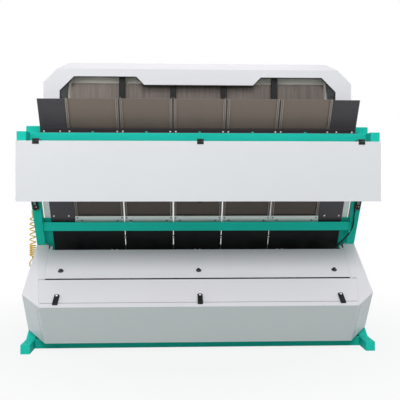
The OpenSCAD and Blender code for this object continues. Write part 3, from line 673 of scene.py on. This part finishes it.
# Lid knobs: a lobed brim with a low crown
lidKnob = {
    "across": [-941, 0, 941], "along": 379, "steps": 84,
    "rings": [(17, 0.4, "lobed"), (18.3, 1.2, "lobed"), (18.4, 4.2, "lobed"), (17.2, 5.2, "lobed"),
              (13.4, 5.8, ""), (12.4, 6.8, ""), (12.1, 12.4, ""), (11.2, 14.4, ""), (8.6, 15.6, ""),
              (4, 16.2, ""), (1, 16.3, "")],
}
for i, x in enumerate(lidKnob["across"], 1):
    mesh = turnedMesh(f"lidKnob{i}", lidKnob["rings"], lidKnob["steps"])
    placeMesh(mesh, onTop(x, lidKnob["along"], 0), topNormal)
    addPiece(f"lidKnob{i}", mesh, f"lid_knob_{i}", "black_plastic", [f"lid_knob_{i}"], "knob")

# Latches: a pale turn key in a rim on each black body
latchAcross = [-920, 0, 920]
latchBodies = {"half": 16.5, "s": (21, 115), "n": (0.3, 14), "round": 3.5, "segments": 3}
latchKey = {
    "along": 100,
    "rings": [(4.9, 8, ""), (4.9, 14.3, ""), (6.8, 14.4, ""), (6.8, 15.6, ""), (6.2, 16.2, ""),
              (3.4, 16.3, "hex"), (3.2, 15, "hex")],
}
latchRim = {
    "rings": [(13.5, 13.6, ""), (13.5, 15.2, ""), (12.6, 16.2, ""), (11, 16.2, ""), (9.8, 15, ""),
              (9.6, 14.1, "")],
}
blocks = blockRow(latchAcross, latchBodies["half"], latchBodies["s"], latchBodies["n"], latchBodies["round"],
                  latchBodies["segments"])
addJoined("latchBodies", blocks, "rear_hatch", "black_plastic", ["hatch_latches"], space=topFrame)
rims = []
for i, x in enumerate(latchAcross, 1):
    place = onTop(x, latchKey["along"], 0)
    mesh = placeMesh(turnedMesh(f"latchKey{i}", latchKey["rings"]), place, topNormal)
    addPiece(f"latchKey{i}", mesh, f"latch_key_{i}", "white_plastic", [f"latch_key_{i}"])
    rims.append(placeMesh(turnedMesh("rim", latchRim["rings"]), place, topNormal))
addJoined("latchRims", rims, "rear_hatch", "black_plastic")
print("knobs and latches made")

# Hopper front: five pressed steel plates, darkened as painted shade, below a sloping steel lip made near
# white as painted light
hopperPlates = {"half": 174, "y": (-399, -395), "z": (1690, 1801), "round": 1.2}
blocks = blockRow(chuteMiddles, hopperPlates["half"], hopperPlates["y"], hopperPlates["z"],
                  hopperPlates["round"])
addJoined("hopperPlates", blocks, "frame", "stainless", ["hopper_front_plates"], "hopper")
hopperLip = {
    "x": (-889.3, 889.3), "round": 0.8, "segments": 2,
    "outline": [(-399, 1803), (-395, 1803), (-330, 1925), (-334, 1925)],  # Y and Z
}
alongX = Matrix(((0, 0, 1, 0), (1, 0, 0, 0), (0, 1, 0, 0), (0, 0, 0, 1)))  # turns X, Y, Z into Y, Z, X
lip = prismMesh(hopperLip["outline"], hopperLip["x"], hopperLip["round"], hopperLip["segments"])
addJoined("hopperLip", [lip], "frame", "stainless", finish="lip", space=alongX)

# A thin black strip round the window of the header hood
windowEdging = {
    "half": 942, "low": 1672, "top": 1838, "corner": 96, "middle": 400, "middleTop": 1783, "step": 27,
    "inside": 5.0, "lap": 1.2, "faceY": (-456.4, -449), "round": 0.6,
}


def edgingMesh():
    e = windowEdging
    right = [(e["middle"] - e["step"], e["middleTop"]), (e["middle"] + e["step"], e["top"]),
             (e["half"] - e["corner"], e["top"]), (e["half"], e["top"] - e["corner"]), (e["half"], e["low"])]
    line = [Vector((-x, z)) for x, z in reversed(right)] + [Vector(point) for point in right]
    y0, y1 = e["faceY"]
    build = bmesh.new()
    rings = []
    for i, point in enumerate(line):
        ahead = (line[min(i + 1, len(line) - 1)] - point).normalized()
        behind = (point - line[max(i - 1, 0)]).normalized()
        inward = Vector((ahead.y + behind.y, -ahead.x - behind.x)).normalized()
        face = Vector((ahead.y, -ahead.x)) if ahead.length else Vector((behind.y, -behind.x))
        inward /= inward.dot(face)
        near, far = point - inward * e["lap"], point + inward * e["inside"]
        corners = [(near.x, y0, near.y), (far.x, y0, far.y), (far.x, y1, far.y), (near.x, y1, near.y)]
        rings.append([build.verts.new(Vector(corner) / 1000) for corner in corners])
    bridgeRings(build, rings)
    roundEdges(build, e["round"], segments=1)
    return endMesh(build, "windowEdging")


addPiece("windowEdging", edgingMesh(), "frame", "cable_rubber")

# Door leaves and catch
doorHinges = (-1041, 0, 1041)
doorLeaves = {"half": 21, "y": (-738.5, -734.5), "z": (1359, 1378.6), "round": 1.2}
blocks = blockRow(doorHinges, doorLeaves["half"], doorLeaves["y"], doorLeaves["z"], doorLeaves["round"])
addJoined("doorLeaves", blocks, "rear_door", "black_plastic")
doorCatch = {"low": (-15, -732, 983.5), "high": (15, -716, 995), "round": 2.0}
block = blockMesh(doorCatch["low"], doorCatch["high"], doorCatch["round"])
addPiece("doorCatch", block, "rear_door", "black_plastic")

# Operator panel: stop button with its collar, screen glass
stopPlace = Vector((420, 735, 1210)) / 1000
panelOut = (0, 1, 0)
stopCap = {
    "steps": 72,
    "rings": [(7.9, -26, ""), (7.9, 7, ""), (13, 7.6, ""), (18.6, 8.2, ""), (19.8, 9.4, ""),
              (20, 11, "ribbed"), (19.4, 13, "ribbed"), (16.5, 15, ""), (10, 15.8, ""), (2, 16, "")],
}
mesh = placeMesh(turnedMesh("stopCap", stopCap["rings"], stopCap["steps"]), stopPlace, panelOut)
addPiece("stopCap", mesh, "stop_button", "red_plastic", ["stop_button"])
stopCollar = {
    "steps": 48,
    "rings": [(28, 0.1, ""), (28, 1.2, ""), (26.5, 2.4, ""), (12, 2.4, ""), (10.5, 1.6, ""), (10, 0.1, "")],
}
mesh = placeMesh(turnedMesh("stopCollar", stopCollar["rings"], stopCollar["steps"]), stopPlace, panelOut)
addPiece("stopCollar", mesh, "frame", "hose_plastic")
screenGlass = {"low": (-161, 742.05, 1109), "high": (161, 742.85, 1311), "round": 0.3, "segments": 1}
block = blockMesh(screenGlass["low"], screenGlass["high"], screenGlass["round"], screenGlass["segments"])
addPiece("screenGlass", block, "frame", "screen")
print("door, hopper and panel pieces made")

# Hems on the chutes' stiffeners, above and below the bar, in lighter stainless as painted highlight along the
# seams
chuteHems = {
    "half": 1.2, "z": (-0.2, 1.2), "round": 0.4, "at": (155.6, 167.6), "n": -10,
    "spans": [(3, 200), (244, 880)],
}
for k, (v0, v1) in enumerate(chuteHems["spans"]):
    half, middle = (v1 - v0) / 2, (v0 + v1) / 2
    hem = blockRow([0], chuteHems["half"], (-half, half), chuteHems["z"], chuteHems["round"], segments=1)[0]
    places = [onChute(x + side * at, middle, chuteHems["n"]) for x in chuteMiddles for side in bothSides
              for at in chuteHems["at"]]
    addHeads(f"chuteHems{k}", hem, [(places, chuteOut)], "frame", "stainless", seed=29, spin=0.0)

# Black side plates beside the tails
tailSides = {
    "plates": [((866, 1046), (951, 1256)), ((870, 1046), (930.3, 951.2))], "n": (-6.6, -4.1), "round": 0.6,
}
blocks = []
for xSpan, vSpan in tailSides["plates"]:
    blocks += blockPair(xSpan, vSpan, tailSides["n"], tailSides["round"])
addJoined("tailSides", blocks, "frame", "black_plastic", space=chuteFrame)

# Pale strips and green gussets between the chutes and the legs
endStrips = {"x": (1040, 1092), "v": (640, 905), "n": (1, 3.5), "round": 0.6}
blocks = blockPair(endStrips["x"], endStrips["v"], endStrips["n"], endStrips["round"])
addJoined("endStrips", blocks, "frame", "pale_plate", space=chuteFrame)
endGussets = {"x": (1040, 1104), "v": (905.2, 1200), "n": (1, 3.5), "round": 0.6}
blocks = blockPair(endGussets["x"], endGussets["v"], endGussets["n"], endGussets["round"])
addJoined("endGussets", blocks, "frame", "green_paint", space=chuteFrame)

# Ties across the tail gaps, each with a screw
tailTies = {"half": 16, "v": (1052, 1078), "n": (-7, -4), "round": 0.8}
blocks = blockRow(chuteGaps, tailTies["half"], tailTies["v"], tailTies["n"], tailTies["round"])
addJoined("tailTies", blocks, "frame", "black_plastic", space=chuteFrame)
tieScrews = {"v": 1065, "n": -7}
places = [onChute(x, tieScrews["v"], tieScrews["n"]) for x in chuteGaps]
addHeads("tieScrews", turnedMesh("tieScrew", socketHead, headSteps), [(places, chuteOut)],
         "frame", "stainless", seed=31, finish="zinc")

# Dark strips that close the upper gaps between the chutes and the gaps outside the outer ones
gapStrips = {
    "betweenHalf": 5.6, "betweenV": (2, 240), "betweenN": (-9, -7),
    "outerX": (869.4, 876.7), "outerV": (0, 921), "outerN": (-9.6, -6.2), "round": 0.4,
}
blocks = blockRow(chuteGaps, gapStrips["betweenHalf"], gapStrips["betweenV"], gapStrips["betweenN"],
                  gapStrips["round"], segments=1)
blocks += blockPair(gapStrips["outerX"], gapStrips["outerV"], gapStrips["outerN"], gapStrips["round"])
addJoined("gapStrips", blocks, "frame", "dark_paint", space=chuteFrame)

# Narrow strips along the lower gaps between the chutes, of steel above the beam and black below it
middleEdges = {"x": 169.3, "v": (242, 881), "width": 2.2, "depth": 8.5, "n": -0.6, "round": 0.4}
tailEdges = {"x": 169.3, "v": (952, 1256), "width": 3.8, "depth": 3.0, "n": -0.6, "round": 0.4}
innerReach = 800  # millimetres from the middle; the outermost edges have the dark strips instead


def addEdges(name, piece, slot):
    (v0, v1), at, width = piece["v"], piece["x"], piece["width"]
    half, middle = (v1 - v0) / 2, (v0 + v1) / 2
    edge = blockRow([0], width / 2, (-half, half), (0, piece["depth"]), piece["round"], segments=1)[0]
    places = [onChute(x + side * (at + width / 2), middle, piece["n"]) for x in chuteMiddles
              for side in bothSides if abs(x + side * at) < innerReach]
    addHeads(name, edge, [(places, chuteOut)], "frame", slot, seed=37, spin=0.0)


addEdges("middleEdges", middleEdges, "chute_steel")
addEdges("tailEdges", tailEdges, "black_plastic")

# Lines on the lower hood's top: the crease beside the hatch and the side of the lid
crease = {"foot": 1015, "head": 1165, "length": 701}
lidSide = {"s": (287, 635), "x": (1037, 1070)}


def creaseX(s):
    return crease["foot"] + (crease["head"] - crease["foot"]) * s / crease["length"]


def lidX(s):
    (s0, s1), (x0, x1) = lidSide["s"], lidSide["x"]
    return x0 + (x1 - x0) * (s - s0) / (s1 - s0)


def besideLine(line, piece, side):
    # a plate that follows a line, from a width inside it to one outside
    (s0, s1), inner, outer = piece["s"], piece["in"], piece["out"]
    outline = [(side * (line(s0) - inner), s0), (side * (line(s0) + outer), s0),
               (side * (line(s1) + outer), s1), (side * (line(s1) - inner), s1)]
    return prismMesh(outline, piece["n"])


# Black strip on the lid's front edge, stood tall as painted shadow of the gap under that edge; grey gasket on
# the hatch's
lidSeal = {"half": 1030, "s": (289.0, 290.45), "n": (-11, 6.0), "round": 0.5}
blocks = blockRow([0], lidSeal["half"], lidSeal["s"], lidSeal["n"], lidSeal["round"])
addJoined("lidSeal", blocks, "rear_lid", "cable_rubber", space=topFrame)
hatchGasket = {"half": 1018, "s": (41.2, 44.4), "n": (-0.5, 0.7), "round": 0.3}
blocks = blockRow([0], hatchGasket["half"], hatchGasket["s"], hatchGasket["n"], hatchGasket["round"],
                  segments=1)
addJoined("hatchGasket", blocks, "rear_hatch", "cable_rubber", finish="gasket", space=topFrame)

# Black strips beside the lid's rear corners: painted shade for the shadowed side of a step
cheekEdges = {"s": (656, 700), "in": 6.5, "out": 1.2, "n": (-24, 1.2)}
plates = [besideLine(lidX, cheekEdges, side) for side in bothSides]
addJoined("cheekEdges", plates, "frame", "cable_rubber", space=topFrame)

# Backing behind the hatch's seams: strips and fillers along the creases, plates in the corners and slots
hatchBacking = {
    "strip": {"s": (36, 258), "in": 16, "out": 2, "n": (-6, -3.4)},
    "filler": {"s": (41.2, 283.3), "in": 1.75, "out": -0.1, "n": (-6, -0.5)},
    "corner": {"x": 1013.7, "out": -0.1, "s": (2, 40.2), "n": (-3.2, -0.2), "round": 0.1},
    "slot": {"x": (1038, 1073), "s": (262, 300), "n": (-34, -31), "round": 0.4},
}


def cornerPlate(piece, side):
    (s0, s1), inner, outer = piece["s"], piece["x"], piece["out"]
    outline = [(side * inner, s0), (side * (creaseX(s0) + outer), s0),
               (side * (creaseX(s1) + outer), s1), (side * inner, s1)]
    return prismMesh(outline, piece["n"], piece["round"])


slotSize = hatchBacking["slot"]
slotPlates = blockPair(slotSize["x"], slotSize["s"], slotSize["n"], slotSize["round"])
plates = [besideLine(creaseX, hatchBacking["strip"], side) for side in bothSides]
for side, slotPlate in zip(bothSides, slotPlates):
    plates += [besideLine(creaseX, hatchBacking["filler"], side), cornerPlate(hatchBacking["corner"], side),
               slotPlate]
addJoined("hatchBacking", plates, "frame", "white_paint", space=topFrame)

# Grey sealing lines where the front sheet's returned edges meet the cheeks
foldLine = {
    "top": (1015, -760, 329), "foot": (1015, -585.3, 60), "out": (150, 180, 53),
    "at": 0.1265, "short": 4, "half": 1.1, "z": (-0.5, 0.5), "round": 0.2,
}


def foldSeam(side):
    top, foot, out = (Vector(foldLine[key]) for key in ("top", "foot", "out"))
    along, across = (foot - top).normalized(), out.normalized()
    proud = across.cross(along).normalized()
    if proud.y > 0:
        proud = -proud
    start = top + out * foldLine["at"] + along * foldLine["short"]
    length = (foot - top).length - 2 * foldLine["short"]
    mesh = blockRow([0], foldLine["half"], (0, length), foldLine["z"], foldLine["round"], segments=1)[0]
    turn = Matrix((along.cross(proud), along, proud)).transposed().to_4x4()
    mesh.transform(Matrix.Translation(start / 1000) @ turn)
    mesh.transform(Matrix.Diagonal((side, 1, 1, 1)))
    if side < 0:
        mesh.flip_normals()
    return mesh


addJoined("foldSeams", [foldSeam(side) for side in bothSides], "frame", "cable_rubber", finish="gasket")

# Black sleeves over the door's hinge ears
doorSleeves = {
    "ear": 17.25, "axis": (-722, 1388), "foot": 1379.3, "half": 4.7, "depth": 7.7, "round": 0.6,
    "rings": [(7.2, -4.7, ""), (7.8, -4.1, ""), (7.8, 4.1, ""), (7.2, 4.7, "")],
}
y, z = doorSleeves["axis"]
footY, footZ = (y - doorSleeves["depth"], y + doorSleeves["depth"]), (doorSleeves["foot"], z)
sleeves = []
for at in (x + side * doorSleeves["ear"] for x in doorHinges for side in bothSides):
    sleeve = turnedMesh("sleeve", doorSleeves["rings"])
    sleeves.append(placeMesh(sleeve, Vector((at, y, z)) / 1000, (1, 0, 0)))
    sleeves += blockRow([at], doorSleeves["half"], footY, footZ, doorSleeves["round"])
addJoined("doorSleeves", sleeves, "rear_door", "black_plastic")

# Face plate on the beam below the chute clamps
beamFace = {"low": (-1101, -247.4, 776), "high": (1101, -245.1, 837), "round": 0.8}
block = blockMesh(beamFace["low"], beamFace["high"], beamFace["round"])
addPiece("beamFace", block, "frame", "green_paint")

# Rocker and two lamps on each switch box
boxMiddles = [side * switchBox["across"] for side in bothSides]
boxRockers = {"half": 8, "y": (-26.5, -21.6), "z": (0, 28), "round": 1.5}
blocks = blockRow(boxMiddles, boxRockers["half"], boxRockers["y"], boxRockers["z"], boxRockers["round"])
addJoined("boxRockers", blocks, "frame", "black_plastic", finish="gasket", space=legFrame)
boxLamps = {
    "rings": [(3.6, 0, ""), (3.6, 1.2, ""), (2.8, 2.4, ""), (1.2, 3, "")], "z": -18,
    "kinds": [("redLamps", -7, "red_plastic"), ("paleLamps", 7, "white_plastic")],  # name, X, slot
}
for name, x, slot in boxLamps["kinds"]:
    places = [onLeg(middle + x, switchBox["face"], boxLamps["z"]) for middle in boxMiddles]
    addHeads(name, turnedMesh("lamp", boxLamps["rings"], headSteps), [(places, legOut)], "frame", slot,
             seed=41)

# Hex nuts and collars on the hose fittings
fittingNuts = {
    "side": [(10.5, 0, "hex"), (10.5, 6, "hex"), (9.6, 7, "hex"), (7.6, 7.2, ""), (7.6, 11, "")],
    "down": [(8.6, 6, "hex"), (8.6, 14, "hex"), (7.6, 15, ""), (6.9, 18, ""), (6.9, 22, ""), (6.2, 23, "")],
    "at": (-1192, -166), "fittings": [(915, -1168, -1), (470, -1165, 1)],  # height, wall, way to the hose
}
x, y = fittingNuts["at"]
nuts = []
for z, wall, way in fittingNuts["fittings"]:
    nuts.append(placeMesh(turnedMesh("nut", fittingNuts["side"]), Vector((wall, y, z)) / 1000, (-1, 0, 0)))
    nuts.append(placeMesh(turnedMesh("collar", fittingNuts["down"]), Vector((x, y, z)) / 1000, (0, 0, way)))
addJoined("fittingNuts", nuts, "frame", "brass")
print("trim made")

# Floor, world and studio light
studio = {
    "floorSize": 60.0,
    "floorColour": (0.36, 0.46, 0.41),
    "floorRoughness": 0.9,
    "floorFade": (1.0, 2.6),  # metres from the middle, over which the floor turns plain white
    "floorWhite": 0.86,       # share of white within them
    "worldColour": (0.97, 0.98, 1.0),
    "worldLevel": 0.40,
    "lamps": [  # place, aim, width, height, watts
        ((-2.8, -4.4, 2.7), (0, -0.3, 1.2), 3.0, 1.6, 25),
        ((3.0, -4.2, 2.7), (0, -0.3, 1.2), 3.0, 1.6, 11),
        ((-4.2, -2.6, 0.7), (-1.1, -0.6, 0.35), 1.6, 1.0, 20),
        ((4.2, -2.6, 0.7), (1.1, -0.6, 0.35), 1.6, 1.0, 8),
        ((0.0, -7.4, 7.6), (0, -0.6, 0.6), 6.0, 4.0, 540),
        ((0.0, 3.6, 4.2), (0, 0.2, 1.0), 3.6, 2.4, 90),
    ],
}


def seenRays(tree):
    # 1 for rays that show the background itself: to the camera, off metal or through glass
    rays = tree.nodes.new("ShaderNodeLightPath")
    shown = rays.outputs["Is Camera Ray"]
    for kind in ("Is Glossy Ray", "Is Transmission Ray"):
        either = tree.nodes.new("ShaderNodeMath")
        either.operation = "MAXIMUM"
        tree.links.new(shown, either.inputs[0])
        tree.links.new(rays.outputs[kind], either.inputs[1])
        shown = either.outputs["Value"]
    return shown


def addFloor():
    bpy.ops.mesh.primitive_plane_add(size=studio["floorSize"])
    floor = bpy.context.object
    floor.name = "paleFloor"
    material = bpy.data.materials.new("paleFloor")
    material.use_nodes = True
    tree = material.node_tree
    shader = tree.nodes["Principled BSDF"]
    shader.inputs["Base Color"].default_value = (*studio["floorColour"], 1)
    shader.inputs["Roughness"].default_value = studio["floorRoughness"]
    light = tree.nodes.new("ShaderNodeEmission")
    light.inputs["Color"].default_value = (1, 1, 1, 1)
    coords = tree.nodes.new("ShaderNodeTexCoord")
    reach = tree.nodes.new("ShaderNodeVectorMath")
    reach.operation = "LENGTH"
    fade = tree.nodes.new("ShaderNodeMapRange")
    near, far = studio["floorFade"]
    fade.inputs["From Min"].default_value = near
    fade.inputs["From Max"].default_value = far
    fade.inputs["To Min"].default_value = studio["floorWhite"]
    seen = tree.nodes.new("ShaderNodeMath")
    seen.operation = "MULTIPLY"
    tree.links.new(coords.outputs["Object"], reach.inputs[0])
    tree.links.new(reach.outputs["Value"], fade.inputs["Value"])
    tree.links.new(fade.outputs["Result"], seen.inputs[1])
    mix = tree.nodes.new("ShaderNodeMixShader")
    tree.links.new(seenRays(tree), seen.inputs[0])
    tree.links.new(seen.outputs["Value"], mix.inputs["Fac"])
    tree.links.new(shader.outputs["BSDF"], mix.inputs[1])
    tree.links.new(light.outputs["Emission"], mix.inputs[2])
    tree.links.new(mix.outputs["Shader"], tree.nodes["Material Output"].inputs["Surface"])
    floor.data.materials.append(material)


def addWorld():
    world = bpy.data.worlds.new("studio")
    scene.world = world
    world.use_nodes = True
    tree = world.node_tree
    soft = tree.nodes["Background"]
    soft.inputs["Color"].default_value = (*studio["worldColour"], 1)
    soft.inputs["Strength"].default_value = studio["worldLevel"]
    plain = tree.nodes.new("ShaderNodeBackground")
    plain.inputs["Color"].default_value = (1, 1, 1, 1)
    mix = tree.nodes.new("ShaderNodeMixShader")
    tree.links.new(seenRays(tree), mix.inputs["Fac"])
    tree.links.new(soft.outputs["Background"], mix.inputs[1])
    tree.links.new(plain.outputs["Background"], mix.inputs[2])
    tree.links.new(mix.outputs["Shader"], tree.nodes["World Output"].inputs["Surface"])


def addLamps():
    for i, (place, aim, width, height, watts) in enumerate(studio["lamps"]):
        data = bpy.data.lights.new(f"softLamp{i}", "AREA")
        data.shape = "RECTANGLE"
        data.size = width
        data.size_y = height
        data.energy = watts
        lamp = bpy.data.objects.new(f"softLamp{i}", data)
        lamp.location = place
        lamp.rotation_euler = (Vector(aim) - Vector(place)).to_track_quat("-Z", "Y").to_euler()
        scene.collection.objects.link(lamp)


addFloor()
addWorld()
addLamps()
scene.view_settings.view_transform = "Standard"
print("studio lit")
